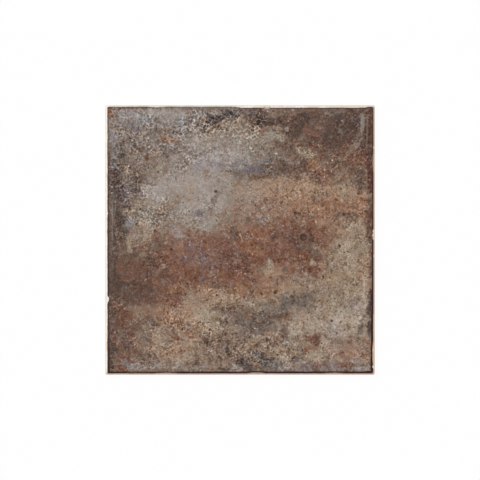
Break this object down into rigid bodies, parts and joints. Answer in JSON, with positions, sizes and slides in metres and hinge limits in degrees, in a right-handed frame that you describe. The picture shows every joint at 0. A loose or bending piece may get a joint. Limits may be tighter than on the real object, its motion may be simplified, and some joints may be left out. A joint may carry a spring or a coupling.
{
  "type": "wall tile",
  "caption": "Square rustic wall tile with a mottled glazed face, cushioned rim, hand-worn bare clay edge and a keyed back for adhesive.",
  "frame": {"origin": "centre of the back, in the plane of the keyed back's ribs", "axes": "+Z out of the glazed face, +Y towards the upper edge of the face as it hangs, +X to the right as the face is looked at"},
  "size_m": [0.2, 0.2, 0.009],
  "materials": {
    "glazed_clay": "satin"
  },
  "bodies": {
    "root": {"tile": "glazed_clay"}
  },
  "joints": []
}
